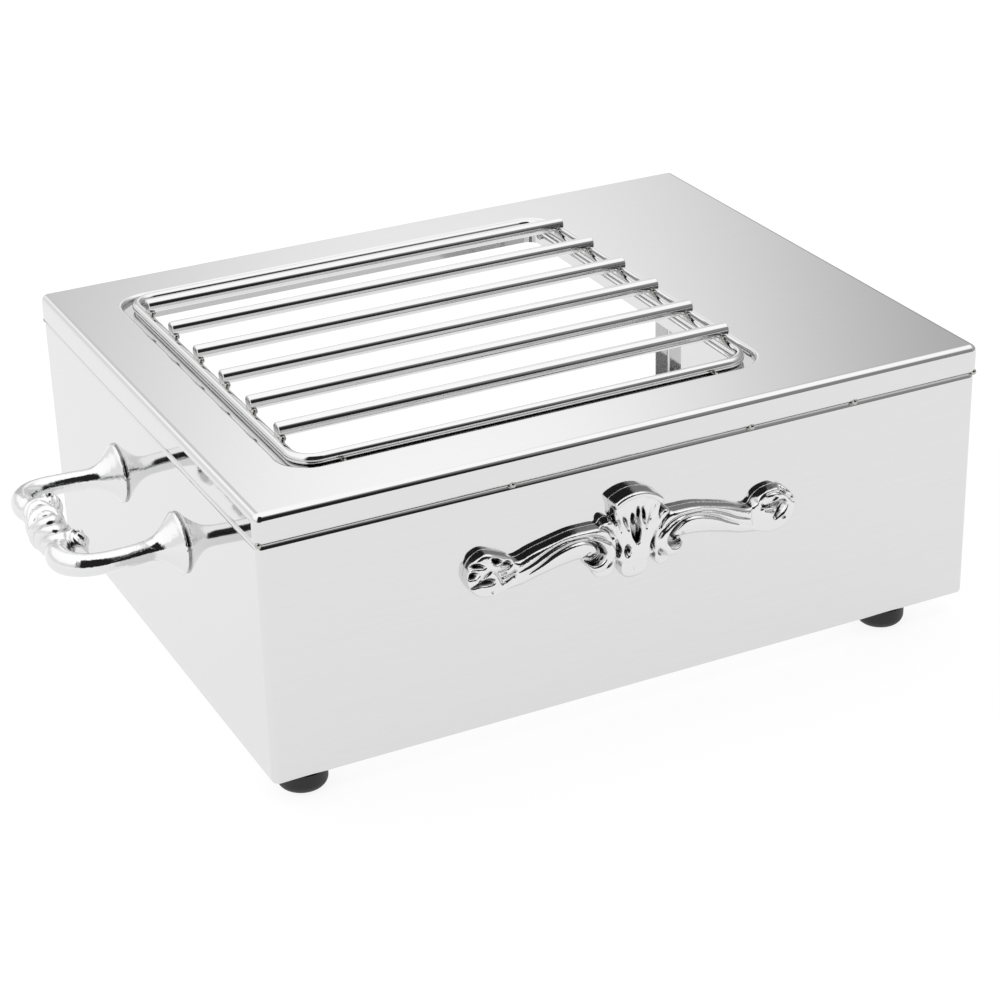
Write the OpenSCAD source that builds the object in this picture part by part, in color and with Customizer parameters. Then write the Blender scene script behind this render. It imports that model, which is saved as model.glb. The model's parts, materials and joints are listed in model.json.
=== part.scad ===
// Buffet burner housing: a polished sheet-metal shroud, open at the bottom and the back, with a
// rod grate let into its top, two cast scroll handles and a cast scroll ornament on the front.
// Units are millimetres. The origin is the centre of the footprint, ornament and handles
// included, on the surface that the feet stand on. +X is to the right, +Y to the back, +Z up.

/* [Body] */
// Width of the body, left wall to right wall
body_w = 470; // [440:5:520]
// Depth of the body, front wall to open back
body_d = 370; // [340:5:420]
// Height of the folded body, without feet and cover
body_h = 152; // [130:2:200]
// Thickness of the body's and cover's sheet
sheet_t = 1.2; // [0.8:0.1:1.6]
// Outside radius of the body's folds
body_fold_r = 4; // [3:0.5:6]
// Width of the inward flange along the bottom
bottom_flange = 30; // [30:1:40]
// Width of the inward flange under the cover
top_flange = 12; // [8:1:16]
// Width of the inward flange at the open back
back_flange = 12; // [8:1:20]

/* [Top cover] */
// How far the cover stands out past each wall
cover_overhang = 1; // [0.5:0.5:3]
// Height of the cover's rim
cover_h = 18; // [14:1:24]
// Outside radius of the cover's corners, seen from above
cover_corner_r = 5; // [5:0.5:7]
// Outside radius of the fold between top and rim
cover_fold_r = 4.5; // [3:0.5:5]
// Radius of the rolled edges, under the rim and round the opening
roll_r = 2.5; // [2:0.5:3]

/* [Opening] */
// Width of the opening
opening_w = 309; // [280:1:320]
// Depth of the opening, front to back
opening_d = 293; // [260:1:300]
// Distance from the left wall to the opening
opening_left = 38; // [30:1:50]
// Distance from the front wall to the opening
opening_front = 42; // [36:1:46]
// Corner radius of the opening
opening_r = 20; // [18:1:26]
// Width of the ledge inside the opening, which the grate's ring lies on
ledge_w = 12; // [10:0.5:14]
// How far the ledge's inner edge is turned down
ledge_lip = 9; // [4:0.5:14]

/* [Grate] */
// Diameter of the ring's wire
wire_d = 6.4; // [5:0.2:8]
// Gap between the ring and the opening
wire_gap = 5.2; // [4:0.2:6]
// Corner radius of the ring, at the wire's centre
ring_r = 14; // [12:1:18]
// Diameter of the rods
rod_d = 9; // [7:0.5:10]
// Number of rods
rod_count = 6; // [4:1:6]
// Distance between rod centres
rod_pitch = 42.8; // [38:0.2:44]
// How far the rods reach past the middle of the ring's right side
rod_reach = 3; // [0:0.5:3]

/* [Front ornament] */
// Length of the ornament, end to end
ornament_w = 218; // [210:2:230]
// How far the ornament's middle is from the body's middle
ornament_x = -5; // [-12:1:12]
// Thickness of the ornament at the shell's lip
ornament_relief = 9.5; // [9:0.5:14]
// How far the ornament leans to the right, in degrees
ornament_tilt = 1.5; // [0:0.5:3]
// Height of the ornament's arms above the body's bottom edge
ornament_z = 104; // [90:1:110]

/* [Handles] */
// Distance between a handle's two feet
handle_span = 108; // [100:1:120]
// Height of the handles above the body's bottom edge
handle_z = 96; // [80:1:110]
// How far the grip's middle stands off the wall
handle_reach = 66.5; // [58:0.5:70]
// Radius of the grip
grip_r = 6; // [5.5:0.1:6.5]
// Radius of the bell-shaped feet against the wall
bell_r = 19; // [17:0.5:21]

/* [Feet] */
// Height of the rubber feet
foot_h = 13; // [12:1:18]
// Radius of the rubber feet
foot_r = 15; // [13:0.5:15]

/* [Hidden] */
$fn = 96;

// Body and cover
body_y = (ornament_relief - cover_overhang) / 2;
front_y = body_y - body_d / 2;
back_y = body_y + body_d / 2;
cover_w = body_w + 2 * cover_overhang;
cover_d = body_d + 2 * cover_overhang;
groove_z = foot_h + body_h;
top_z = groove_z + cover_h;
lip_flange = 12;
slit_w = 0.8;

// Opening and grate
opening_x = -body_w / 2 + opening_left + opening_w / 2;
opening_y = front_y + opening_front + opening_d / 2;
ledge_drop = wire_d / 2 + 0.1;
ring_w = opening_w - 2 * wire_gap - wire_d;
ring_d = opening_d - 2 * wire_gap - wire_d;
rod_z = top_z + wire_d / 2 + rod_d / 2;
rod_left_x = opening_x - ring_w / 2;
rod_right_x = opening_x + ring_w / 2;
rod_end_chamfer = 0.4;
weld_r = 2.2;
weld_offset = 3.4;
tack_r = 1.5;
grate_tack_spots = [[-163, -1], [78, -1], [-47, 1]];
cover_tack_x = [-81, 75.5, 147];
cover_tack_r = 2;

// Ornament
knob_r = 14.4;
knob_x = ornament_w / 2 - knob_r;
knob_z = -4.2;
volute_x = 22;
volute_z = -8.5;
volute_r = 11;
arm_z = -4;
arm_rise = 4.3;
arm_half_h = 9.3;
arm_relief = 8;
shell_r = 14;
shell_z = 9;
lip_r = 8;
lip_x = 8.7;
lip_z = 21;
lobe_x = 20;
lobe_z = -18.5;
lobe_r = 7;
tip_z = -20.5;
tip_r = 9;
stud_off = 60;
stud_x = [ornament_x - stud_off, ornament_x + stud_off];

// Handles
splay = 5;
bend_r = 18;
bell_h = 20;
arm_out = handle_reach - bend_r * (1 + sin(splay));
arm_len = arm_out / cos(splay);
bend_y = handle_span / 2 + arm_len * sin(splay) - bend_r * cos(splay);
barrel_r = 11.5;
barrel_half = 20;
joint_bulge = 0.5;
scroll_r = 8.5;
scroll_y = 27;

// Fasteners: [shank radius, clearance radius, washer radius, washer thickness]
m4 = [2, 2.2, 4.5, 0.8];
m6 = [3, 3.2, 6, 1.2];
thread_gap = 0.05;
handle_screw_len = 12;
stud_depth = 6;
nut4_flats = 7;
nut4_h = 3.2;
bolt6_flats = 10;
bolt6_h = 4;
foot_washer_r = 6;
foot_head_r = 4;
foot_head_h = 2.6;
foot_recess_r = 5;
foot_recess_h = 5;
foot_round = 6;
foot_spots = [[-body_w / 2 + 23, front_y + 15.5], [body_w / 2 - 52, front_y + 15.5],
              [-body_w / 2 + 17, back_y - 20], [body_w / 2 - 17, back_y - 20]];

// Block from x = -5 to x = w whose right-hand corners are rounded
module rounded_block(w, h, top_r, low_r) {
    translate([-5, low_r]) square([w + 5, h - top_r - low_r]);
    translate([-5, 0]) square([w + 5 - low_r, low_r]);
    translate([w - low_r, low_r]) circle(low_r);
    translate([-5, h - top_r]) square([w + 5 - top_r, top_r]);
    translate([w - top_r, h - top_r]) circle(top_r);
}

// Section of a wall whose top and bottom edges are folded inwards, from x = 0 to x = w
module wall_section(w, h, top_r, low_r) {
    difference() {
        intersection() {
            rounded_block(w, h, top_r, low_r);
            square([w, h]);
        }
        translate([0, sheet_t])
            rounded_block(w - sheet_t, h - 2 * sheet_t, top_r - sheet_t, low_r - sheet_t);
    }
}

// The same section, solid
module wall_envelope(w, h, top_r, low_r) {
    intersection() {
        rounded_block(w, h, top_r, low_r);
        square([w, h]);
    }
}

// Runs a section along Y, its x pointing out along +X
module run(len) {
    rotate([90, 0, 0]) linear_extrude(len, center = true) children();
}

// Runs a section round a rounded rectangle whose corner radius is r
module round_frame(w, d, r) {
    for (a = [0:3]) {
        half_x = (a % 2 == 0 ? w : d) / 2;
        half_y = (a % 2 == 0 ? d : w) / 2;
        rotate(90 * a) {
            translate([half_x - r, 0, 0]) run(2 * (half_y - r)) children();
            translate([half_x - r, half_y - r, 0]) rotate_extrude(angle = 90) children();
        }
    }
}

// Rounded rectangle, flat
module rounded_rect(w, d, r) {
    square([w - 2 * r, d], center = true);
    square([w, d - 2 * r], center = true);
    for (x = [-1, 1], y = [-1, 1])
        translate([x * (w / 2 - r), y * (d / 2 - r)]) circle(r);
}

// Both sides of the object's middle plane
module both_sides() {
    children();
    mirror([1, 0, 0]) children();
}

// Quarter of a folded sheet, from the fold's outer face at x = 0 to its top at y = 0
module fold_quarter() {
    intersection() {
        translate([roll_r, -roll_r]) difference() {
            circle(roll_r);
            circle(roll_r - sheet_t);
        }
        translate([0, -roll_r]) square([roll_r, roll_r]);
    }
}

// Section of the ledge in the opening, x = opening_r at the clear opening: the plate's edge goes
// down to the ledge, and the ledge's inner edge is turned down again
module ledge_section() {
    inner = opening_r - ledge_w;
    translate([opening_r, 0]) fold_quarter();
    translate([opening_r, -ledge_drop - sheet_t]) square([sheet_t, ledge_drop + sheet_t - roll_r]);
    translate([inner + roll_r, -ledge_drop - sheet_t]) square([ledge_w + sheet_t - roll_r, sheet_t]);
    translate([inner, -ledge_drop]) fold_quarter();
    translate([inner, -ledge_drop - ledge_lip]) square([sheet_t, ledge_lip - roll_r]);
}

module top_cover() {
    r = cover_corner_r;
    color("gainsboro") {
        translate([0, body_y, groove_z]) {
            round_frame(cover_w, cover_d, r) wall_section(r, cover_h, cover_fold_r, roll_r);
            linear_extrude(sheet_t) difference() {
                square([cover_w - 2 * r, cover_d - 2 * r], center = true);
                square([cover_w - 2 * lip_flange, cover_d - 2 * lip_flange], center = true);
            }
        }
        translate([0, 0, top_z - sheet_t]) linear_extrude(sheet_t) difference() {
            translate([0, body_y]) square([cover_w - 2 * r, cover_d - 2 * r], center = true);
            translate([opening_x, opening_y])
                rounded_rect(opening_w + 2 * roll_r, opening_d + 2 * roll_r, opening_r + roll_r);
        }
        translate([opening_x, opening_y, top_z])
            round_frame(opening_w, opening_d, opening_r) ledge_section();
    }
}

// Runs the body's section round the front and both sides, up to the fold at the back
module body_run() {
    r = body_fold_r;
    side_len = body_d - r - roll_r;
    translate([0, front_y + r, 0]) rotate(-90) run(body_w - 2 * r) children();
    both_sides() {
        translate([body_w / 2 - r, front_y + r, 0]) rotate(-90) rotate_extrude(angle = 90) children();
        translate([body_w / 2 - r, front_y + r + side_len / 2, 0]) run(side_len) children();
    }
}

// Flat U along the front and both sides, as wide as the flange, mitred at the front corners
module body_flange(width) {
    r = body_fold_r;
    inner_w = body_w - 2 * width;
    linear_extrude(sheet_t) difference() {
        translate([-body_w / 2 + r, front_y + r]) square([body_w - 2 * r, body_d - r - roll_r]);
        translate([-inner_w / 2, front_y + width]) square([inner_w, body_d]);
        both_sides()
            translate([body_w / 2 - width, front_y + width]) rotate(-45)
                square([2 * (width - r), slit_w], center = true);
    }
}

// Fold and inward flange along the back edge of the right wall, seen from above
module back_fold() {
    translate([body_w / 2 - roll_r, back_y - roll_r]) intersection() {
        difference() {
            circle(roll_r);
            circle(roll_r - sheet_t);
        }
        square(roll_r);
    }
    translate([body_w / 2 - back_flange, back_y - sheet_t]) square([back_flange - roll_r, sheet_t]);
}

// Where the handles' screws and the ornament's studs go through the walls
module wall_holes() {
    for (side = [-1, 1], y = [-1, 1])
        translate([side * body_w / 2, body_y + y * handle_span / 2, foot_h + handle_z])
            rotate([0, 90, 0]) cylinder(r = m6[1], h = 4 * sheet_t, center = true);
    for (x = stud_x)
        translate([x, front_y, foot_h + ornament_z])
            rotate([90, 0, 0]) cylinder(r = m4[1], h = 4 * sheet_t, center = true);
}

module body_wrap() {
    color("gainsboro") difference() {
        translate([0, 0, foot_h]) {
            body_run() wall_section(body_fold_r, body_h, body_fold_r, roll_r);
            body_flange(bottom_flange);
            translate([0, 0, body_h - sheet_t]) body_flange(top_flange);
            translate([0, 0, roll_r]) both_sides()
                linear_extrude(body_h - body_fold_r - roll_r) back_fold();
        }
        wall_holes();
        for (spot = foot_spots)
            translate([spot[0], spot[1], foot_h]) cylinder(r = m4[1], h = 4 * sheet_t, center = true);
    }
}

// Beads in the groove under the cover's rim, along the front and at the four corners
module cover_tacks() {
    corner_inset = 1.2;
    corner_x = body_w / 2 - corner_inset;
    spots = concat(
        [for (x = cover_tack_x) [x, front_y]],
        [for (x = [-corner_x, corner_x], y = [front_y + corner_inset, back_y - corner_inset]) [x, y]]
    );
    color("silver") difference() {
        for (spot = spots) translate([spot[0], spot[1], groove_z]) sphere(cover_tack_r);
        translate([0, 0, foot_h]) {
            body_run() wall_envelope(body_fold_r, body_h, body_fold_r, roll_r);
            translate([0, body_y, body_h / 2])
                cube([body_w - 2 * body_fold_r, body_d - 2 * body_fold_r, body_h], center = true);
        }
        translate([0, body_y, groove_z]) {
            round_frame(cover_w, cover_d, cover_corner_r)
                wall_envelope(cover_corner_r, cover_h, cover_fold_r, roll_r);
            translate([0, 0, cover_h / 2])
                cube([cover_w - 2 * cover_corner_r, cover_d - 2 * cover_corner_r, cover_h], center = true);
        }
    }
}

// The ring as a solid wire
module ring_wire() {
    translate([opening_x, opening_y, top_z])
        round_frame(ring_w, ring_d, ring_r) translate([ring_r, 0]) circle(d = wire_d);
}

module grate_frame() {
    color("silver") ring_wire();
}

function rod_y(i) = opening_y + ((rod_count - 1) / 2 - (i - 1)) * rod_pitch;

// Rod number i, counted from the back, as a bar with a small chamfer at each end
module grate_rod(i) {
    len = rod_right_x + rod_reach - rod_left_x;
    c = rod_end_chamfer;
    if (i <= rod_count)
        color("silver") translate([rod_left_x, rod_y(i), rod_z]) rotate([0, 90, 0]) {
            cylinder(r1 = rod_d / 2 - c, r2 = rod_d / 2, h = c);
            translate([0, 0, c]) cylinder(d = rod_d, h = len - 2 * c);
            translate([0, 0, len - c]) cylinder(r1 = rod_d / 2, r2 = rod_d / 2 - c, h = c);
        }
}

// A bead on each side of every rod, where it crosses the ring
module rod_welds() {
    color("darkgray") difference() {
        for (i = [1:rod_count], x = [rod_left_x + weld_r, rod_right_x], side = [-1, 1])
            translate([x, rod_y(i) + side * weld_offset, top_z + wire_d / 2]) sphere(weld_r);
        for (i = [1:rod_count])
            translate([opening_x, rod_y(i), rod_z]) rotate([0, 90, 0])
                cylinder(d = rod_d, h = opening_w, center = true);
        for (x = [rod_left_x, rod_right_x])
            translate([x, opening_y, top_z]) rotate([90, 0, 0])
                cylinder(d = wire_d, h = opening_d, center = true);
    }
}

// Short beads across the gap between the ring and the front and back edges of the opening
module grate_tacks() {
    color("darkgray") difference() {
        for (spot = grate_tack_spots)
            translate([spot[0], opening_y + spot[1] * (opening_d / 2 - wire_gap / 2), top_z - roll_r])
                rotate([90, 0, 0]) cylinder(r = tack_r, h = wire_gap + wire_d / 2, center = true);
        for (y = [-1, 1])
            translate([opening_x, opening_y + y * ring_d / 2, top_z]) rotate([0, 90, 0])
                cylinder(d = wire_d, h = opening_w, center = true);
        for (y = [-1, 1])
            translate([opening_x, opening_y + y * (opening_d / 2 + roll_r), top_z - roll_r]) {
                rotate([0, 90, 0]) cylinder(r = roll_r, h = opening_w, center = true);
                translate([0, 0, -roll_r]) cube([opening_w, 2 * roll_r, 2 * roll_r], center = true);
            }
        translate([opening_x, opening_y, top_z - ledge_drop - roll_r])
            cube([opening_w, opening_d, 2 * roll_r], center = true);
    }
}

// One arm of the ornament: an S-curved band from the volute to the end knob
function arm_mid(x) = arm_z + arm_rise * cos(180 * min(1, max(0, (x - 33) / 45)));
module arm_outline() {
    steps = [for (x = [6:4:90]) x];
    polygon(concat(
        [for (x = steps) [x, arm_mid(x) + arm_half_h]],
        [for (i = [len(steps) - 1:-1:0]) [steps[i], arm_mid(steps[i]) - arm_half_h]]
    ));
}

module front_ornament() {
    color("lightgray") translate([ornament_x, front_y, foot_h + ornament_z]) rotate([90, 0, 0])
        difference() {
            rotate(-ornament_tilt) union() {
                both_sides() {
                    linear_extrude(arm_relief) arm_outline();
                    translate([knob_x, knob_z, 0]) cylinder(r = knob_r, h = arm_relief + 0.5);
                    translate([volute_x, volute_z, 0]) cylinder(r = volute_r, h = arm_relief + 0.7);
                    translate([lobe_x, lobe_z, 0]) cylinder(r = lobe_r, h = arm_relief - 2);
                    translate([lip_x, lip_z, 0]) cylinder(r = lip_r, h = ornament_relief);
                }
                translate([0, shell_z, 0]) cylinder(r = shell_r, h = arm_relief + 1);
                translate([0, volute_z, 0]) cylinder(r = shell_r, h = arm_relief + 0.5);
                translate([0, tip_z, 0]) cylinder(r = tip_r, h = arm_relief - 1);
                translate([0, lip_z, ornament_relief / 2])
                    cube([2 * lip_x, 2 * lip_r, ornament_relief], center = true);
            }
            for (side = [-1, 1])
                translate([side * stud_off, 0, -1]) cylinder(r = m4[0] + thread_gap, h = stud_depth + 1);
        }
}

module ornament_studs() {
    inside = sheet_t + m4[3] + nut4_h + 1;
    color("silver") for (x = stud_x)
        translate([x, front_y + inside, foot_h + ornament_z]) rotate([90, 0, 0])
            cylinder(r = m4[0], h = inside + stud_depth - 0.5);
}

module washer(hole_r, outer_r, t) {
    difference() {
        cylinder(r = outer_r, h = t);
        translate([0, 0, -1]) cylinder(r = hole_r, h = t + 2);
    }
}

module hex(flats, h) {
    cylinder(d = flats / cos(30), h = h, $fn = 6);
}

module nut(flats, h, hole_r) {
    difference() {
        hex(flats, h);
        translate([0, 0, -1]) cylinder(r = hole_r, h = h + 2);
    }
}

module ornament_washers() {
    color("silver") for (x = stud_x)
        translate([x, front_y + sheet_t, foot_h + ornament_z]) rotate([-90, 0, 0])
            washer(m4[1], m4[2], m4[3]);
}

module ornament_nuts() {
    color("silver") for (x = stud_x)
        translate([x, front_y + sheet_t + m4[3], foot_h + ornament_z]) rotate([-90, 0, 0])
            nut(nut4_flats, nut4_h, m4[0] + thread_gap);
}

// Bell-shaped foot of a handle, standing on the wall along +Z
function bell_radius(s) = 5.2 + (bell_r - 5.2) * pow(1 - s / bell_h, 1.5);
module bell() {
    edge = 1.5;
    steps = [for (i = [0:12]) edge + (bell_h - edge) * i / 12];
    rotate_extrude() polygon(concat(
        [[0, 0], [bell_r - 0.6, 0], [bell_r, 0.6]],
        [for (s = steps) [bell_radius(s - edge * (1 - (s - edge) / (bell_h - edge))), s]],
        [[0, bell_h]]
    ));
}

// A handle on a wall at x = 0, standing out along +X, its middle at the origin
module handle() {
    difference() {
        union() {
            for (side = [0, 1]) mirror([0, side, 0]) {
                translate([0, handle_span / 2, 0]) {
                    rotate([0, 90, 0]) bell();
                    rotate([0, 90, splay]) {
                        translate([0, 0, 6]) cylinder(r = grip_r, h = arm_len - 6);
                        translate([0, 0, arm_len]) sphere(grip_r + joint_bulge);
                    }
                }
                translate([handle_reach - bend_r, bend_y, 0])
                    rotate_extrude(angle = 90 + splay) translate([bend_r, 0]) circle(grip_r);
                translate([handle_reach - 8, scroll_y, 0]) sphere(scroll_r);
            }
            translate([handle_reach, 0, 0]) rotate([90, 0, 0]) {
                cylinder(r = grip_r, h = 2 * bend_y, center = true);
                rotate_extrude() intersection() {
                    translate([barrel_r - 60, 0]) circle(60);
                    translate([0, -barrel_half]) square([barrel_r, 2 * barrel_half]);
                }
            }
        }
        for (side = [-1, 1])
            translate([-1, side * handle_span / 2, 0]) rotate([0, 90, 0])
                cylinder(r = m6[0] + thread_gap, h = handle_screw_len + 1);
    }
}

// Puts something that stands out along +X on the right wall, or on the left wall as its mirror
module on_wall(side) {
    mirror([side < 0 ? 1 : 0, 0, 0])
        translate([body_w / 2, body_y, foot_h + handle_z]) children();
}

module left_handle() {
    color("lightgray") on_wall(-1) handle();
}

module right_handle() {
    color("lightgray") on_wall(1) handle();
}

module handle_screws(side) {
    head_x = -sheet_t - m6[3];
    color("silver") on_wall(side) for (y = [-1, 1])
        translate([head_x, y * handle_span / 2, 0]) rotate([0, 90, 0]) {
            cylinder(r = m6[0], h = handle_screw_len - 0.5 - head_x);
            translate([0, 0, -bolt6_h]) hex(bolt6_flats, bolt6_h);
        }
}

module handle_washers(side) {
    color("silver") on_wall(side) for (y = [-1, 1])
        translate([-sheet_t - m6[3], y * handle_span / 2, 0]) rotate([0, 90, 0])
            washer(m6[1], m6[2], m6[3]);
}

// Rubber foot with a hole for its screw and a recess for the screw's head
module foot(i) {
    color("black") translate([foot_spots[i][0], foot_spots[i][1], 0]) difference() {
        rotate_extrude() {
            translate([0, foot_round]) square([foot_r, foot_h - foot_round]);
            square([foot_r - foot_round, foot_round]);
            intersection() {
                translate([foot_r - foot_round, foot_round]) circle(foot_round);
                square([foot_r, foot_round]);
            }
        }
        translate([0, 0, -1]) {
            cylinder(r = foot_recess_r, h = foot_recess_h + 1);
            cylinder(r = m4[1], h = foot_h + 2);
        }
    }
}

module foot_screws() {
    shank = foot_h - foot_recess_h + sheet_t + m4[3] + nut4_h + 1;
    color("silver") for (spot = foot_spots)
        translate([spot[0], spot[1], foot_recess_h]) {
            cylinder(r = m4[0], h = shank);
            translate([0, 0, -foot_head_h]) cylinder(r = foot_head_r, h = foot_head_h);
        }
}

module foot_washers() {
    color("silver") for (spot = foot_spots)
        translate([spot[0], spot[1], foot_h + sheet_t]) washer(m4[1], foot_washer_r, m4[3]);
}

module foot_nuts() {
    color("silver") for (spot = foot_spots)
        translate([spot[0], spot[1], foot_h + sheet_t + m4[3]])
            nut(nut4_flats, nut4_h, m4[0] + thread_gap);
}

top_cover();
body_wrap();
cover_tacks();
grate_frame();
grate_rod(1);  // grate_rod_1
grate_rod(2);  // grate_rod_2
grate_rod(3);  // grate_rod_3
grate_rod(4);  // grate_rod_4
grate_rod(5);  // grate_rod_5
grate_rod(6);  // grate_rod_6
rod_welds();
grate_tacks();
front_ornament();
ornament_studs();
ornament_washers();
ornament_nuts();
left_handle();
right_handle();
handle_screws(-1);  // left_handle_screws
handle_screws(1);  // right_handle_screws
handle_washers(-1);  // left_handle_washers
handle_washers(1);  // right_handle_washers
foot(0);  // foot_front_left
foot(1);  // foot_front_right
foot(2);  // foot_rear_left
foot(3);  // foot_rear_right
foot_screws();
foot_washers();
foot_nuts();
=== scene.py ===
"""Looks of the buffet burner housing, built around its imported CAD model. Metres, in the CAD frame."""

import json
import math

import bpy
import numpy as np
from mathutils import Matrix, Vector


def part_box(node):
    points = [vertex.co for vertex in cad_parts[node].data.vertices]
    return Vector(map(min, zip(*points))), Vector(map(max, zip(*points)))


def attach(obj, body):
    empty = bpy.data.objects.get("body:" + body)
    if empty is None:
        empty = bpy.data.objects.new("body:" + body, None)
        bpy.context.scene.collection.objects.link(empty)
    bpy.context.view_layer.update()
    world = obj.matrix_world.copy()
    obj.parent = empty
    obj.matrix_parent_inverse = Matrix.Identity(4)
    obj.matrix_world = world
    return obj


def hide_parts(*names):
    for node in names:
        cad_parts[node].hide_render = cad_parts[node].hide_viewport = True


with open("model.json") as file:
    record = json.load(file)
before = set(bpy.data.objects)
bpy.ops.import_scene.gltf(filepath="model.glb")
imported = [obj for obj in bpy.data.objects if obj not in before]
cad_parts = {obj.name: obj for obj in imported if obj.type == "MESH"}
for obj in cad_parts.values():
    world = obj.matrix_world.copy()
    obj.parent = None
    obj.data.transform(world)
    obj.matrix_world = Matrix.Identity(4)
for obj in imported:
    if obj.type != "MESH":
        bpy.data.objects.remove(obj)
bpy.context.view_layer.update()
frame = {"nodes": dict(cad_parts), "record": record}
nodes = frame["nodes"]
scene = bpy.context.scene
MM = 0.001

# ---------------------------------------------------------------- camera

VIEW_AZIMUTH = -26.06
VIEW_ELEVATION = 26.31
VIEW_ROLL = -1.56
VIEW_DISTANCE = 1.6675
VIEW_OFFSET = (-0.0048, -0.01270, 0.0626)  # from the cover's middle, and from the floor
LENS = 93.5


def middle(name):
    low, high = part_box(name)
    return (low + high) / 2


def make_camera():
    cover = middle("top_cover")
    target = Vector((cover.x + VIEW_OFFSET[0], cover.y + VIEW_OFFSET[1], VIEW_OFFSET[2]))
    az, el, roll = (math.radians(a) for a in (VIEW_AZIMUTH, VIEW_ELEVATION, VIEW_ROLL))
    back = Vector((math.sin(az) * math.cos(el), -math.cos(az) * math.cos(el), math.sin(el)))
    right = Vector((math.cos(az), math.sin(az), 0))
    up = back.cross(right)
    x_axis = right * math.cos(roll) + up * math.sin(roll)
    y_axis = up * math.cos(roll) - right * math.sin(roll)
    data = bpy.data.cameras.new("camera")
    data.lens = LENS
    data.sensor_width = 36
    data.clip_end = 100
    camera = bpy.data.objects.new("camera", data)
    scene.collection.objects.link(camera)
    place = target + back * VIEW_DISTANCE
    camera.matrix_world = Matrix.Translation(place) @ Matrix((x_axis, y_axis, back)).transposed().to_4x4()
    scene.camera = camera


make_camera()
scene.view_settings.view_transform = "Standard"

# ---------------------------------------------------------------- node helpers


class Nodes:
    """Short ways to add and join shader nodes in one tree."""

    def __init__(self, tree):
        self.tree = tree
        tree.nodes.clear()

    def add(self, kind, inputs=(), **settings):
        node = self.tree.nodes.new("ShaderNode" + kind)
        for name, value in settings.items():
            setattr(node, name, value)
        for name, value in dict(inputs).items():
            if isinstance(value, bpy.types.NodeSocket):
                self.tree.links.new(value, node.inputs[name])
            else:
                node.inputs[name].default_value = value
        return node

    def math(self, operation, a, b=0.0, c=0.0, clamp=False):
        node = self.add("Math", operation=operation, use_clamp=clamp)
        for i, value in enumerate((a, b, c)):
            if isinstance(value, bpy.types.NodeSocket):
                self.tree.links.new(value, node.inputs[i])
            else:
                node.inputs[i].default_value = value
        return node.outputs[0]

    def smooth(self, value, low, high, to_low=0.0, to_high=1.0):
        node = self.add("MapRange", interpolation_type="SMOOTHSTEP")
        self.tree.links.new(value, node.inputs["Value"])
        for name, number in zip(("From Min", "From Max", "To Min", "To Max"), (low, high, to_low, to_high)):
            node.inputs[name].default_value = number
        return node.outputs["Result"]


# ---------------------------------------------------------------- stage


WALL_GLOW = 1.25
CEILING_GLOW = 1.3
FLOOR_GLOW = 0.89
FLOOR_TONE = 0.15
FLOOR_REACH = 30


def make_world():
    world = bpy.data.worlds.new("studio")
    scene.world = world
    world.use_nodes = True
    n = Nodes(world.node_tree)
    direction = n.add("TexCoord").outputs["Generated"]
    x, y, z = n.add("SeparateXYZ", {"Vector": direction}).outputs
    # bearing from +Y towards +X and height above the horizon, in degrees
    bearing = n.math("MULTIPLY", n.math("ARCTAN2", x, y), 180 / math.pi)
    height = n.math("MULTIPLY", n.math("ARCSINE", z), 180 / math.pi)
    # back wall with a large soft light on it
    side = n.smooth(bearing, 12, 24, 0.63, 1.0)
    left = n.smooth(bearing, -12, 10, 1.0, 0.0)
    side = n.math("MAXIMUM", side, left)
    other = n.smooth(bearing, 26, 40, 1.0, 0.42)
    wall = n.math("MULTIPLY", side, other)
    rise = n.smooth(height, 15, 28, 0.75, 1.0)
    wall = n.math("MULTIPLY", wall, rise)
    wall = n.math("MULTIPLY", wall, WALL_GLOW)
    ceiling = n.smooth(height, 30, 55)
    wall = n.math("ADD", n.math("MULTIPLY", wall, n.math("SUBTRACT", 1.0, ceiling)), n.math("MULTIPLY", ceiling, CEILING_GLOW))
    # dark studio behind the camera, up to the edge of the ceiling light
    away = n.math("ADD", n.math("MULTIPLY", x, 0.44), n.math("MULTIPLY", y, 0.9))
    front = n.smooth(away, -0.32, -0.18, 1.0, 0.0)
    open_left = n.math("MULTIPLY", n.smooth(bearing, -140, -120), n.smooth(bearing, 0, 20, 1.0, 0.0))
    front = n.math("MULTIPLY", front, n.math("SUBTRACT", 1.0, open_left))
    light = n.math("MULTIPLY", wall, n.math("SUBTRACT", 1.0, front))
    # the front right is dimmer than the rest, not dark
    right = n.math("MULTIPLY", n.smooth(bearing, 60, 90), n.smooth(bearing, 148, 156, 1.0, 0.0))
    dark = n.math("ADD", 0.02, n.math("MULTIPLY", right, 0.28))
    light = n.math("ADD", light, n.math("MULTIPLY", front, dark))
    background = n.add("Background", {"Strength": light})
    background.inputs["Color"].default_value = (1, 1, 1, 1)
    n.add("OutputWorld", {"Surface": background.outputs[0]})


def sheet(name, corners):
    mesh = bpy.data.meshes.new(name)
    mesh.from_pydata(corners, [], [(0, 1, 2, 3)])
    o = bpy.data.objects.new(name, mesh)
    scene.collection.objects.link(o)
    return o


def floor_material(name, glow, tone_share):
    material = bpy.data.materials.new(name)
    material.use_nodes = True
    n = Nodes(material.node_tree)
    noise = n.add("TexNoise", {"Vector": n.add("TexCoord").outputs["Object"], "Scale": 1.5})
    tone = n.add("MapRange", {"Value": noise.outputs[0], "To Min": 0.97 * tone_share, "To Max": tone_share})
    colour = n.add("CombineColor", {"Red": tone.outputs[0], "Green": tone.outputs[0], "Blue": tone.outputs[0]})
    shader = n.add("BsdfPrincipled", {"Base Color": colour.outputs[0], "Roughness": 0.9, "Emission Strength": glow})
    shader.inputs["Emission Color"].default_value = (1, 1, 1, 1)
    n.add("OutputMaterial", {"Surface": shader.outputs[0]})
    return material


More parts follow.
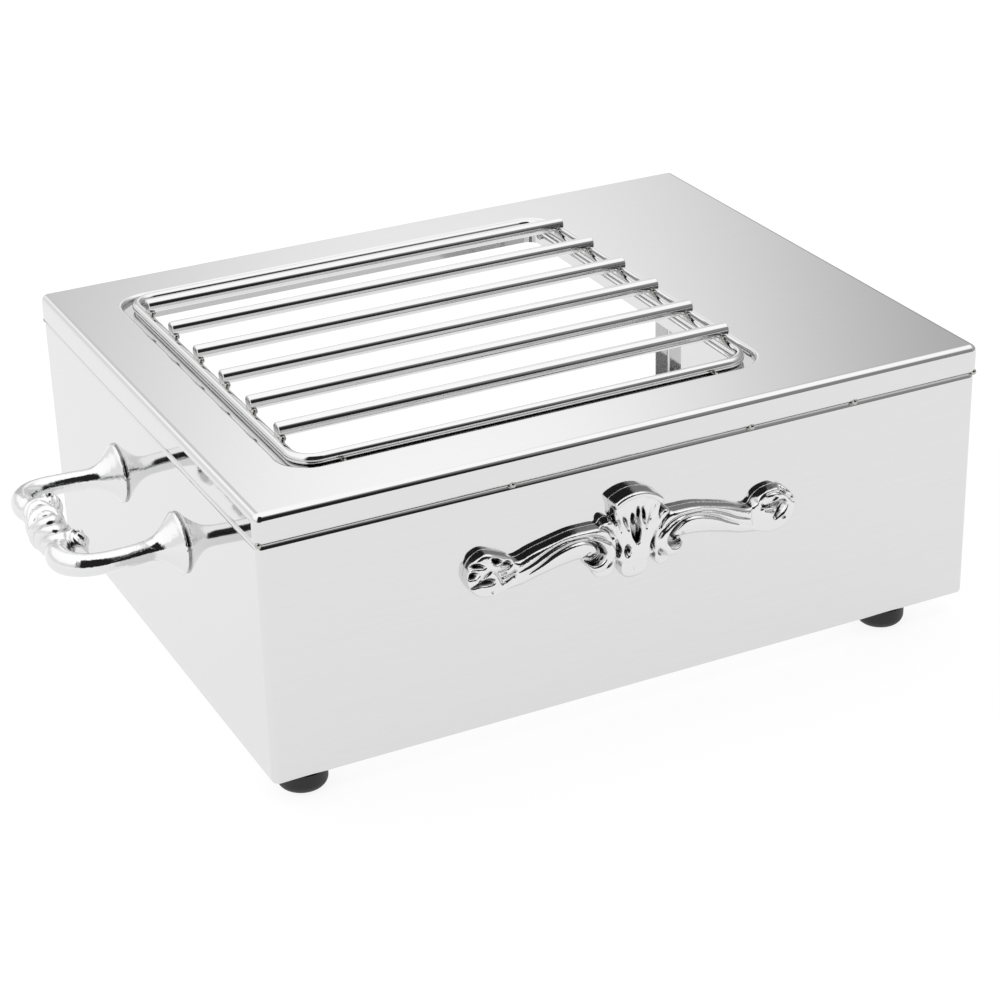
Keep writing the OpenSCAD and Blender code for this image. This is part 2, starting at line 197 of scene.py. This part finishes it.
make_world()
floor = sheet("floor", [(x * FLOOR_REACH, y * FLOOR_REACH, 0) for x, y in ((-1, -1), (1, -1), (1, 1), (-1, 1))])
floor.data.materials.append(floor_material("floor", FLOOR_GLOW, FLOOR_TONE))

# ---------------------------------------------------------------- materials


ROUGH_SPREAD = 0.03
POLISH_LINE_SCALE = 600.0
POLISH_LINE_HEIGHT = 0.000002
# near-black base colour that closed-in grooves get as painted shade
PAINTED_SHADE = (0.02, 0.02, 0.02, 1)


def metal(name, colour, rough, wave=0.0, wave_scale=8.0, hammer=0.0, hammer_scale=120.0, painted_shade_reach=0.0):
    """Polished metal: fine polish lines, cloudy roughness, and slow waves in the sheet or fine hammering in a casting.
    The last argument is how far, in metres, a groove looks for walls around it; where walls close a groove in, painted
    shade mixes its base colour towards near-black."""
    material = bpy.data.materials.new(name)
    material.use_nodes = True
    n = Nodes(material.node_tree)
    place = n.add("TexCoord").outputs["Object"]
    cloud = n.add("TexNoise", {"Vector": place, "Scale": 9.0, "Detail": 4.0}).outputs[0]
    stretch = n.add("Mapping", {"Vector": place, "Scale": (0.06, 1.0, 1.0)})
    lines = n.add("TexNoise", {"Vector": stretch.outputs[0], "Scale": POLISH_LINE_SCALE, "Detail": 2.0}).outputs[0]
    mixed = n.math("ADD", n.math("MULTIPLY", cloud, 0.7), n.math("MULTIPLY", lines, 0.3))
    roughness = n.add("MapRange", {"Value": mixed, "From Min": 0.25, "From Max": 0.75,
                                   "To Min": rough, "To Max": rough + ROUGH_SPREAD})
    tone = n.add("MapRange", {"Value": lines, "To Min": 0.97, "To Max": 1.0})
    tint = n.add("Mix", data_type="RGBA", blend_type="MULTIPLY")
    tint.inputs[0].default_value = 1.0
    tint.inputs[6].default_value = (*colour, 1)
    grey = n.add("CombineColor", {c: tone.outputs[0] for c in ("Red", "Green", "Blue")})
    n.tree.links.new(grey.outputs[0], tint.inputs[7])
    colour_out = tint.outputs[2]
    if painted_shade_reach:
        # painted shade: grooves that walls close in get a near-black base colour from an ambient occlusion node, from
        # any side
        open_sky = n.add("AmbientOcclusion", {"Distance": painted_shade_reach}, samples=8, only_local=True).outputs["AO"]
        painted_shade_mix = n.add("Mix", data_type="RGBA")
        n.tree.links.new(n.smooth(open_sky, 0.42, 0.80), painted_shade_mix.inputs[0])
        painted_shade_mix.inputs[6].default_value = PAINTED_SHADE
        n.tree.links.new(colour_out, painted_shade_mix.inputs[7])
        colour_out = painted_shade_mix.outputs[2]
    shader = n.add("BsdfPrincipled", {"Base Color": colour_out, "Metallic": 1.0, "Roughness": roughness.outputs[0]})
    height = n.math("MULTIPLY", lines, POLISH_LINE_HEIGHT)
    if wave:
        slow = n.add("TexNoise", {"Vector": place, "Scale": wave_scale, "Detail": 1.0}).outputs[0]
        height = n.math("ADD", height, n.math("MULTIPLY", slow, wave))
    if hammer:
        beat = n.add("TexNoise", {"Vector": place, "Scale": hammer_scale, "Detail": 4.0, "Roughness": 0.6})
        height = n.math("ADD", height, n.math("MULTIPLY", beat.outputs[0], hammer))
    bump = n.add("Bump", {"Height": height, "Strength": 1.0, "Distance": 1.0})
    n.tree.links.new(bump.outputs[0], shader.inputs["Normal"])
    n.add("OutputMaterial", {"Surface": shader.outputs[0]})
    return material


def rubber(name):
    material = bpy.data.materials.new(name)
    material.use_nodes = True
    n = Nodes(material.node_tree)
    place = n.add("TexCoord").outputs["Object"]
    grain = n.add("TexNoise", {"Vector": place, "Scale": 900.0, "Detail": 3.0}).outputs[0]
    cloud = n.add("TexNoise", {"Vector": place, "Scale": 60.0, "Detail": 3.0}).outputs[0]
    colour = n.add("ValToRGB", {"Fac": cloud})
    colour.color_ramp.elements[0].color = (0.006, 0.006, 0.006, 1)
    colour.color_ramp.elements[1].color = (0.02, 0.02, 0.021, 1)
    rough = n.add("MapRange", {"Value": grain, "To Min": 0.4, "To Max": 0.7})
    bump = n.add("Bump", {"Height": grain, "Strength": 0.3, "Distance": 0.0002})
    shader = n.add("BsdfPrincipled", {"Base Color": colour.outputs[0], "Roughness": rough.outputs[0],
                                      "Normal": bump.outputs[0]})
    n.add("OutputMaterial", {"Surface": shader.outputs[0]})
    return material


STEEL = (0.735, 0.735, 0.735)
SLOT_MATERIALS = {
    "cover_steel": metal("cover_steel", STEEL, 0.03, wave=0.00004, wave_scale=7.0),
    "body_steel": metal("body_steel", STEEL, 0.04, wave=0.00004, wave_scale=6.0),
    "weld_steel": metal("weld_steel", (0.5, 0.49, 0.47), 0.16),
    "wire_steel": metal("wire_steel", STEEL, 0.06),
    "rod_steel": metal("rod_steel", STEEL, 0.06),
    # cast_chrome carries painted shade in its grooves: a near-black base colour mixed in by ambient occlusion
    "cast_chrome": metal("cast_chrome", (0.78, 0.78, 0.785), 0.03, hammer=0.00020, hammer_scale=240.0,
                         painted_shade_reach=0.005),
    "zinc_steel": metal("zinc_steel", (0.62, 0.63, 0.64), 0.22),
    "black_rubber": rubber("black_rubber"),
}

slots = {part["node"]: part["material_slot"] for part in frame["record"]["subparts"]}
for name, o in nodes.items():
    material = SLOT_MATERIALS[slots[name]]
    o.data.materials.clear()
    o.data.materials.append(material)

# ---------------------------------------------------------------- sculpting in a sampled field


def soft_min(a, b, k):
    h = np.clip(0.5 + 0.5 * (b - a) / k, 0, 1)
    return b + (a - b) * h - k * h * (1 - h)


def soft_max(a, b, k):
    return -soft_min(-a, -b, k)


def smooth_path(points, steps=6):
    """Catmull-Rom curve through rows of numbers."""
    p = np.array(points, float)
    p = np.vstack([2 * p[0] - p[1], p, 2 * p[-1] - p[-2]])
    t = np.linspace(0, 1, steps, endpoint=False)[:, None]
    out = []
    for a, b, c, d in zip(p[:-3], p[1:-2], p[2:-1], p[3:]):
        out.append(0.5 * (2 * b + (c - a) * t + (2 * a - 5 * b + 4 * c - d) * t**2 + (3 * b - a - 3 * c + d) * t**3))
    return np.vstack(out + [p[-2][None]])


def along(path, places):
    """Distance from places (..., n) to the n-dimensional path, and the path's other columns at the nearest point."""
    n = places.shape[-1]
    path = np.array(path, float)
    best = np.full(places.shape[:-1], 1e9)
    rest = np.zeros(places.shape[:-1] + (path.shape[1] - n,))
    for a, b in zip(path[:-1], path[1:]):
        step = b[:n] - a[:n]
        t = np.clip(((places - a[:n]) @ step) / max(step @ step, 1e-9), 0, 1)
        away = np.linalg.norm(places - a[:n] - t[..., None] * step, axis=-1)
        value = a[n:] + t[..., None] * (b[n:] - a[n:])
        nearer = away < best
        best = np.where(nearer, away, best)
        rest = np.where(nearer[..., None], value, rest)
    return best, rest


def surface_net(values, low, cell):
    """Vertices and quads of the zero surface of a field sampled on a grid, negative inside."""
    inside = values < 0
    shape = np.array(values.shape) - 1
    corner = np.array([(i, j, k) for i in (0, 1) for j in (0, 1) for k in (0, 1)])

    def shifted(a, offset):
        return a[tuple(slice(o, o + s) for o, s in zip(offset, shape))]

    count = sum(shifted(inside, c).astype(np.int8) for c in corner)
    active = (count > 0) & (count < 8)
    cells = np.argwhere(active)
    number = np.full(active.shape, -1)
    number[active] = np.arange(len(cells))
    at_corner = np.stack([values[tuple((cells + c).T)] for c in corner], 1)
    total = np.zeros((len(cells), 3))
    hits = np.zeros(len(cells))
    for i in range(8):
        for j in range(i + 1, 8):
            if abs(corner[i] - corner[j]).sum() != 1:
                continue
            a, b = at_corner[:, i], at_corner[:, j]
            cross = (a < 0) != (b < 0)
            t = np.where(cross, a / np.where(cross, a - b, 1), 0)
            total += np.where(cross[:, None], corner[i] + t[:, None] * (corner[j] - corner[i]), 0)
            hits += cross
    places = low + (cells + total / hits[:, None]) * cell
    quads = []
    for axis in range(3):
        b, c = (axis + 1) % 3, (axis + 2) % 3
        near = [slice(1, s) for s in shape]
        near[axis] = slice(0, shape[axis])
        far = list(near)
        far[axis] = slice(1, shape[axis] + 1)
        first, second = inside[tuple(near)], inside[tuple(far)]
        start = np.array([s.start for s in near])
        for flag, order in ((first & ~second, 1), (~first & second, -1)):
            p = np.argwhere(flag) + start
            ring = []
            for db, dc in ((1, 1), (0, 1), (0, 0), (1, 0))[::order]:
                q = p.copy()
                q[:, b] -= db
                q[:, c] -= dc
                ring.append(number[tuple(q.T)])
            quads.append(np.stack(ring, 1))
    return places, np.vstack(quads)


def settle(field, places, cell, rounds=3):
    """Moves places onto the field's zero surface."""
    e = 0.25 * cell
    for _ in range(rounds):
        f = field(places)
        slope = np.stack([(field(places + e * d) - field(places - e * d)) / (2 * e) for d in np.eye(3)], 1)
        step = f[:, None] * slope / np.maximum((slope**2).sum(1), 0.05)[:, None]
        length = np.linalg.norm(step, axis=1, keepdims=True)
        places = places - step * np.minimum(1, 0.6 * cell / np.maximum(length, 1e-9))
    return places


def cast_mesh(name, places, quads, slot):
    """A smooth closed mesh from places in millimetres."""
    mesh = bpy.data.meshes.new(name)
    mesh.vertices.add(len(places))
    mesh.vertices.foreach_set("co", (places * MM).astype(np.float32).ravel())
    mesh.loops.add(quads.size)
    mesh.loops.foreach_set("vertex_index", quads.astype(np.int32).ravel())
    mesh.polygons.add(len(quads))
    mesh.polygons.foreach_set("loop_start", np.arange(0, quads.size, 4, dtype=np.int32))
    mesh.update(calc_edges=True)
    mesh.validate()
    mesh.shade_smooth()
    mesh.materials.append(SLOT_MATERIALS[slot])
    o = bpy.data.objects.new(name, mesh)
    scene.collection.objects.link(o)
    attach(o, "root")
    return o


# ---------------------------------------------------------------- front ornament

# The ornament is a casting: an outline with drafted sides, and a relief over it. u runs to the
# right from its middle, w up from its arms' height, d out from the wall, all in millimetres.
ORNAMENT_TILT = 1.5
SIDE_DRAFT = 0.07
ARM = [(14, 0.4, 9.3), (30, 0.3, 9.6), (40, 0, 9.6), (50, -1.7, 9.3), (63, -4.8, 9.2), (73, -7.9, 8.9), (84, -8.8, 9.2)]
ARM_SECTION = ([-1.0, -0.85, -0.65, -0.4, -0.1, 0.2, 0.5, 0.8, 1.1], [2.6, 4.8, 6.4, 7.5, 8.0, 8.1, 7.9, 7.2, 6.2])
# Ridges and grooves that both sides share: u, w, half width, height or depth
C_SCROLL = [(38, 8.2, 1.2, 11.6), (30, 7.6, 1.6, 12.2), (23, 4.6, 2.6, 12.8), (17.5, -0.5, 4.0, 13.2),
            (15, -7, 4.4, 13.2), (18.5, -12, 4.0, 12.6), (24.5, -13.2, 3.0, 11.4), (29.5, -11.3, 2.0, 9.8)]
SIDE_GROOVES = [
    [(74, -1.5, 0.7, 0.6), (66, 1, 0.9, 1.3), (56, 5.5, 1.0, 1.6), (46, 8.5, 1.0, 1.7), (36, 9.2, 1.0, 1.7),
     (26, 8, 1.1, 1.9), (21, 6, 1.0, 1.7), (15.5, 1.7, 0.7, 0.8)],
    [(76, -8, 0.5, 0.4), (68, -4.5, 0.7, 0.9), (61, -1.5, 0.9, 1.4), (51, 3.5, 1.1, 2.0), (41, 6.5, 1.1, 2.1),
     (33, 6.8, 1.1, 2.1), (27, 4.7, 1.3, 3.0), (22.5, 0.5, 1.8, 5.0), (20.5, -4, 2.2, 6.5), (22.5, -8, 2.2, 6.5),
     (26, -8.6, 1.8, 5.0), (29.5, -5.5, 1.0, 2.5), (28.5, -2, 0.6, 1.2)],
    [(10.5, -1, 0.7, 1.2), (8.7, -6, 1.3, 3.4), (10, -11, 0.7, 1.6)],
    [(18, -16, 0.6, 1.0), (15, -13, 1.6, 4.0), (12.5, -9.5, 0.6, 1.2)],
    [(15, 9, 0.7, 1.6), (11, 2, 0.8, 1.8), (7.8, -6, 0.7, 1.6), (7.5, -13, 0.6, 1.0)],
    [(21, 12, 0.8, 1.6), (16.5, 9.5, 1.0, 2.0), (13.5, 4, 0.8, 1.6)],
]
LEAF_CURLS = [[(21, 14, 2.2, 10.5), (17, 15, 3.0, 12.5), (14, 10, 2.6, 12.0), (11.5, 3, 1.8, 11.5)]]
FAN_SLOTS = [
    [(-2.0, 17, 0.7, 1.5), (-1.0, 14, 1.5, 5.0), (0.5, 8, 1.9, 6.5), (2.0, 2, 2.0, 6.5), (3.0, -2.5, 1.2, 3.0)],
    [(2.0, 20.5, 0.6, 1.6), (2.6, 16, 1.1, 4.5), (3.4, 9, 1.2, 5.0), (3.8, 2, 1.2, 5.0), (3.4, -2, 1.0, 3.0)],
    [(5.0, 19.5, 0.8, 2.0), (6.2, 15, 1.0, 3.2), (7.2, 9, 0.7, 1.6)],
    [(-7.0, 15.5, 0.6, 1.0), (-5.8, 12.5, 1.0, 2.4), (-3.4, 6.5, 0.7, 1.4)],
    [(-12.0, 19, 0.5, 0.6), (-10.0, 13, 0.9, 1.8), (-8.0, 6, 0.6, 1.0)],
    [(11.0, 19, 0.5, 0.8), (10.0, 12, 0.9, 2.0), (8.5, 5, 0.6, 1.2)],
    [(-3.6, -4.5, 1.4, 2.5), (-3.2, -7, 2.0, 4.2), (-3.4, -9.5, 1.5, 2.5)],
    [(1.6, -19.5, 0.7, 0.9), (1.9, -20.5, 0.7, 0.9)],
]
LEFT_KNOB = [
    [(-105, 6.6, 0.5, 1.5), (-101, 8, 1.3, 4.5), (-96.5, 6.8, 0.7, 2.0)],
    [(-105, 0.8, 0.8, 2.5), (-103, 2.4, 1.9, 5.0), (-100, 3, 0.8, 1.6)],
    [(-104, -5.4, 0.6, 2.0), (-99, -3.6, 1.2, 3.5), (-95, -3, 1.9, 5.0), (-91.5, -3.4, 1.6, 4.0)],
    [(-99.5, -2, 0.7, 1.6), (-96, 1.3, 0.7, 1.6), (-92.5, 4, 0.6, 1.2)],
    [(-91, 10, 0.8, 2.4), (-88.5, 8.2, 1.5, 4.5), (-85, 7.2, 0.6, 1.6)],
    [(-86, 5, 0.7, 1.6), (-82, 5.4, 1.4, 3.6), (-79.3, 3.6, 0.8, 2.0), (-84, 2, 0.7, 1.6), (-89, 3, 0.5, 1.0)],
    [(-91, 3, 0.6, 1.4), (-88, -0.5, 0.8, 1.8), (-85, -6.5, 0.8, 1.8)],
    [(-86, -0.2, 0.6, 1.4), (-82.5, 0, 0.7, 1.6)],
    [(-85.5, -2.6, 0.7, 1.6), (-76, -1.5, 0.7, 1.2)],
    [(-83, -6, 0.8, 1.8), (-76.5, -3.8, 0.7, 1.2)],
    [(-91.3, -10.8, 0.8, 1.4), (-90.6, -11.2, 0.8, 1.4)],
]
RIGHT_KNOB = [
    [(99, 10.5, 0.9, 3.0), (100.5, 8, 1.9, 5.0), (102.3, 5.6, 0.9, 2.4)],
    [(93.5, -0.5, 1.2, 3.0), (98, -1, 2.2, 5.0), (101.5, -1.6, 2.2, 5.0), (99, -5, 2.6, 5.5), (95.5, -8.6, 1.4, 3.4)],
    [(79, 3.2, 0.9, 2.4), (81.5, 3.4, 1.9, 4.5), (83.6, 5, 0.8, 2.0)],
    [(88.5, 9, 0.7, 1.8), (92, 9.8, 0.8, 2.0)],
    [(90, 6.5, 0.5, 1.0), (95, 7, 0.7, 1.4), (98, 6, 0.5, 1.0)],
    [(86.5, 1, 0.6, 1.4), (88, -0.6, 0.8, 1.8), (91, -0.4, 0.6, 1.2)],
    [(86, -1.4, 0.6, 1.2), (92, 1, 0.7, 1.6), (96, 4, 0.7, 1.4)],
    [(102.5, 4.5, 0.6, 1.2), (106, 0.5, 0.8, 1.6), (109, -2.5, 0.6, 1.2)],
    [(107.2, 1.4, 0.9, 1.6), (107.8, 1.8, 0.9, 1.6)],
    [(88.5, -2.6, 0.6, 1.2), (94, -4.5, 0.8, 1.8)],
    [(101, -10.6, 0.8, 1.4), (102.6, -10.2, 0.8, 1.4)],
]


def seated(path, side, share):
    """The path moved onto the casting: sunk and drawn in on the given side, its heights or depths scaled."""
    du, slope = {"both": (2.4, -0.026), "left": (-2.4, 0.026), "right": (-2.05, 0.026), "middle": (-2.3, 0.0)}[side]
    return [(p[0] + du, p[1] - 1.75 + slope * p[0], p[2], p[3] * share) for p in path]


def ornament_maps(u, w):
    """Outline distance and relief over the plane."""
    here = np.stack([u, w], -1)
    side = np.abs(u)
    folded = np.stack([side, w], -1)

    def disc(cu, cw, r):
        return np.hypot(side - cu, w - cw) - r

    # outline
    away, half = along(smooth_path(ARM), folded)
    outline = away - half[..., 0]
    knob, _ = along([(92.0, -4.6), (94.6, -4.2)], folded)
    knob -= 14.4
    left_shoulder = 0.917 * (w - 3.2 - 0.4 * (side - 78))
    knob = np.where((u < 0) & (side > 76), soft_max(knob, left_shoulder, 2.0), knob)
    outline = soft_min(outline, knob, 1.5)
    for part in (disc(22, -8.5, 11), disc(20, -17.7, 7), disc(0, -20, 9.4), disc(0, -0.8, 18), disc(18.5, 9, 4.5)):
        outline = soft_min(outline, part, 1.5)
    lean = math.radians(5)
    su = (u - 0.75) * math.cos(lean) - (w - 22) * math.sin(lean)
    sw = 22 + (u - 0.75) * math.sin(lean) + (w - 22) * math.cos(lean)
    lip_half = np.interp(sw, [8, 15.8, 19, 22, 25], [14.4, 15.2, 16.0, 17.0, 17.2])
    shell = soft_max(soft_max(np.hypot(su, sw - 4.1) - 24.9, np.abs(su) - lip_half, 1.2), 10 - sw, 1)
    outline = soft_min(outline, shell, 0.8)

    # relief
    mid = np.interp(side, [p[0] for p in ARM], [p[1] for p in ARM])
    wide = np.interp(side, [p[0] for p in ARM], [p[2] for p in ARM])
    arm_relief = np.interp((w - mid) / wide, *ARM_SECTION)
    centre = np.interp(w, [-29, -25, -15, 0, 12, 22, 29], [3.0, 5.4, 7.0, 7.2, 7.8, 8.4, 8.6])
    centre = centre - 0.003 * u**2
    knob_relief = 9.0 - 0.011 * ((side - 94) ** 2 + (w + 4.2) ** 2)
    relief = arm_relief + (centre - arm_relief) * np.clip((26 - side) / 12, 0, 1)
    in_shell = np.clip(1 - shell / 1.0, 0, 1)
    relief = relief + (centre - relief) * in_shell
    in_knob = np.clip(0.5 - knob / 2.0, 0, 1)
    relief = relief + (knob_relief - relief) * in_knob * in_knob * (3 - 2 * in_knob)

    def raise_ridge(path, base):
        nonlocal relief
        far, rest = along(smooth_path(path), folded)
        q = np.clip(far / rest[..., 0], 0, 1)
        ridge = base + (rest[..., 1] - base) * np.sqrt(1 - q**2)
        relief = np.where(far < rest[..., 0], soft_max(relief, ridge, 0.6), relief)

    raise_ridge(seated(C_SCROLL, "both", 0.68), 5.2)
    for path in LEAF_CURLS:
        raise_ridge(seated(path, "both", 0.68), 6.0)
    # the shell's raised lip, and flutes that fan out below it
    rim = np.hypot(su, sw - 4.1) - 22.9
    lip = 8.2 + 1.25 * np.sqrt(np.clip(1 - (rim / 2.1) ** 2, 0, 1))
    relief = np.where((np.abs(rim) < 2.1) & (sw > 14) & (np.abs(su) < 18), np.maximum(relief, lip), relief)
    angle = np.degrees(np.arctan2(su - 1.0, sw + 8.0))
    fan = np.clip((sw + 2) / 10, 0, 1) * np.clip((21.0 - np.hypot(su, sw - 4.1)) / 2.5, 0, 1) * in_shell
    relief = relief + 0.5 * fan * np.cos(np.radians(angle) * 2 * 11)

    def cut(path, two_sided=False):
        nonlocal relief
        far, rest = along(smooth_path(path), folded if two_sided else here)
        q = np.clip(far / (1.6 * rest[..., 0]), 0, 1)
        relief = relief - rest[..., 1] * (1 - q * q) ** 2

    for path in SIDE_GROOVES:
        cut(seated(path, "both", 0.85), True)
    for side_name, paths in (("middle", FAN_SLOTS), ("left", LEFT_KNOB), ("right", RIGHT_KNOB)):
        for path in paths:
            cut(seated(path, side_name, 0.9))
    relief = np.maximum(relief, 1.9)
    return outline, relief


def soften(a, cells):
    """Blurs a map by about that many cells."""
    reach = int(3 * cells)
    x = np.arange(-reach, reach + 1)
    weights = np.exp(-0.5 * (x / cells) ** 2)
    weights /= weights.sum()
    for axis in (0, 1):
        padded = np.pad(a, [(reach, reach) if i == axis else (0, 0) for i in (0, 1)], mode="edge")
        a = sum(wt * np.roll(padded, -i, axis)[tuple(slice(0, n) for n in a.shape)] for i, wt in enumerate(weights))
    return a


def make_ornament():
    studs = middle("ornament_studs")
    centre_x, centre_z = studs.x / MM, studs.z / MM
    wall_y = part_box("front_ornament")[1].y / MM
    step = 0.3
    us = np.arange(-112, 112 + step, step)
    ws = np.arange(-33, 33 + step, step)
    maps = ornament_maps(*np.meshgrid(us, ws, indexing="ij"))
    outline, relief = (soften(m, c) for m, c in zip(maps, (1.2, 1.0)))

    def look_up(a, u, w):
        i = np.clip((u - us[0]) / step, 0, len(us) - 1.001)
        j = np.clip((w - ws[0]) / step, 0, len(ws) - 1.001)
        i0, j0 = i.astype(int), j.astype(int)
        fi, fj = i - i0, j - j0
        return ((a[i0, j0] * (1 - fi) + a[i0 + 1, j0] * fi) * (1 - fj)
                + (a[i0, j0 + 1] * (1 - fi) + a[i0 + 1, j0 + 1] * fi) * fj)

    def field(p):
        u, w, d = p.T
        sides = look_up(outline, u, w) + SIDE_DRAFT * d
        front = 0.8 * (d - look_up(relief, u, w))
        return soft_max(soft_max(sides, front, 1.6), 0.05 - d, 0.3)

    cell = 0.6
    axes = [np.arange(a, b, cell) for a, b in ((-111.3, 111.3), (-32.3, 32.3), (-1.1, 11.5))]
    grid = np.stack(np.meshgrid(*axes, indexing="ij"), -1)
    values = field(grid.reshape(-1, 3)).reshape(grid.shape[:3])
    places, quads = surface_net(values, np.array([a[0] for a in axes]), cell)
    places = settle(field, places, cell)
    tilt = math.radians(ORNAMENT_TILT)
    x = centre_x + places[:, 0] * math.cos(tilt) + places[:, 1] * math.sin(tilt)
    y = wall_y - places[:, 2]
    z = centre_z - places[:, 0] * math.sin(tilt) + places[:, 1] * math.cos(tilt)
    piece = cast_mesh("ornament_casting", np.stack([x, y, z], 1), quads, "cast_chrome")
    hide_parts("front_ornament")


make_ornament()

# ---------------------------------------------------------------- handles

# A handle is a casting too: s stands out from the wall, t runs along it, h is up from the handle's
# middle, all in millimetres. Both ends of the tube start on the wall and curl in to a scroll.
BELL = ([0.0, 1.2, 2.4, 4.4, 8.0, 11.8, 15.4, 18.6, 24.0, 30.0],
        [19.0, 19.0, 18.2, 16.0, 12.6, 9.6, 7.5, 6.2, 4.0, 1.0])
TUBE = [(0, 54, 0, 6.2), (12, 54.6, 0, 6.2), (26, 55.8, 0, 6.2), (40, 56.8, 0, 6.3), (52, 56.6, 0, 6.6),
        (62, 53.6, 0, 7.0), (69, 47.0, 0, 7.5), (71.3, 39.5, 0, 8.0), (70.0, 32.5, 0, 7.8), (65.5, 27.0, 0.6, 6.6)]
CURL = [(70.0, 33.0, 0, 7.6), (66.0, 25.0, 1.0, 6.4), (60.5, 20.5, 1.6, 5.0), (55.5, 22.0, 1.6, 4.4),
        (54.0, 26.5, 1.0, 4.4)]
CURL_BALL = (57.0, 27.0, 0.6, 8.4)
BARREL = ([-34, -26, -18, -9, 0, 9, 18, 26, 34], [6.0, 8.6, 10.0, 10.9, 11.2, 10.9, 10.0, 8.6, 6.0])
LEAVES = [(-24, 2.0, 1.5), (-15, 2.3, 1.9), (-5.5, 2.6, 2.1), (5.5, 2.6, 2.1), (15, 2.3, 1.9), (24, 2.0, 1.5)]
BARREL_OUT = 66.0


def handle_field(p):
    s, t, h = p.T
    # the tables reach a little further out than the casting does, and more so at its back end
    s = s * (1.045 + 0.045 * np.clip((t + 5) / 45, 0, 1))
    side = np.abs(t)
    folded = np.stack([s, side, h], -1)
    away, radius = along(smooth_path(TUBE, 4), folded)
    shape = away - radius[..., 0]
    # bells against the wall
    off = np.hypot(side - 54, h)
    flare = np.interp(s, *BELL)
    slope = np.interp(s, [0, 2, 5, 12, 18, 24], [1.0, 0.85, 0.72, 0.72, 0.9, 1.0])
    bell = soft_max((off - flare) * slope, s - 30, 1.0)
    shape = soft_min(shape, bell, 2.0)
    # leaf-wrapped barrel: curled leaves wind round it towards its middle
    turn = np.arctan2(h, s - BARREL_OUT)
    out = np.hypot(s - BARREL_OUT, h)
    barrel = out - np.interp(t, *BARREL)
    wind = t + 3.2 * np.cos(2 * turn) * np.sign(t)
    for place, wide, tall in LEAVES:
        q = np.clip(1 - ((wind - place) / (wide * 1.9)) ** 2, 0, 1)
        barrel = barrel - tall * q * q * (0.75 + 0.25 * np.cos(3 * turn + place))
    for place in (-10.2, 0, 10.2, 19.6, -19.6):
        q = np.clip(1 - ((wind - place) / 1.7) ** 2, 0, 1)
        barrel = barrel + 1.1 * q * q
    barrel = soft_max(0.8 * barrel, side - 31, 2.0)
    shape = soft_min(shape, barrel, 1.6)
    # scrolls
    curl, radius = along(smooth_path(CURL, 4), folded)
    shape = soft_min(shape, curl - radius[..., 0], 1.2)
    bs, bt, bh, br = CURL_BALL
    ball = np.sqrt((s - bs) ** 2 + (side - bt) ** 2 + ((h - bh) * 0.92) ** 2) - br
    spin = np.arctan2(side - bt, s - bs)
    ball = ball + 0.45 * np.cos(5 * spin + 0.6 * (h - bh))
    shape = soft_min(shape, ball, 0.9)
    eye = np.sqrt((s - bs + 1.0) ** 2 + (side - bt) ** 2 + (np.abs(h) - 9.0) ** 2) - 2.6
    shape = soft_max(shape, -eye, 0.8)
    # a shallow relief under the rim, so that the casting only touches the wall inside it
    rim = np.maximum(np.abs(s - 0.1) - 0.75, 17.6 - off)
    shape = soft_max(shape, -rim, 0.2)
    return soft_max(shape, 0.05 - s, 0.3)


def make_handles():
    cell = 0.8
    axes = [np.arange(a, b, cell) for a, b in ((-1.1, 83.0), (-75.0, 75.0), (-20.6, 20.8))]
    grid = np.stack(np.meshgrid(*axes, indexing="ij"), -1)
    values = handle_field(grid.reshape(-1, 3)).reshape(grid.shape[:3])
    places, quads = surface_net(values, np.array([a[0] for a in axes]), cell)
    places = settle(handle_field, places, cell)
    for side, name in ((-1, "left_handle"), (1, "right_handle")):
        low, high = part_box(name)
        wall_x = (high.x if side < 0 else low.x) / MM
        centre = middle(name) / MM
        x = wall_x + side * places[:, 0]
        y = centre.y + places[:, 1]
        z = centre.z + places[:, 2]
        order = quads if side > 0 else quads[:, ::-1]
        piece = cast_mesh(name + "_casting", np.stack([x, y, z], 1), order, "cast_chrome")
        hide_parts(name)


make_handles()
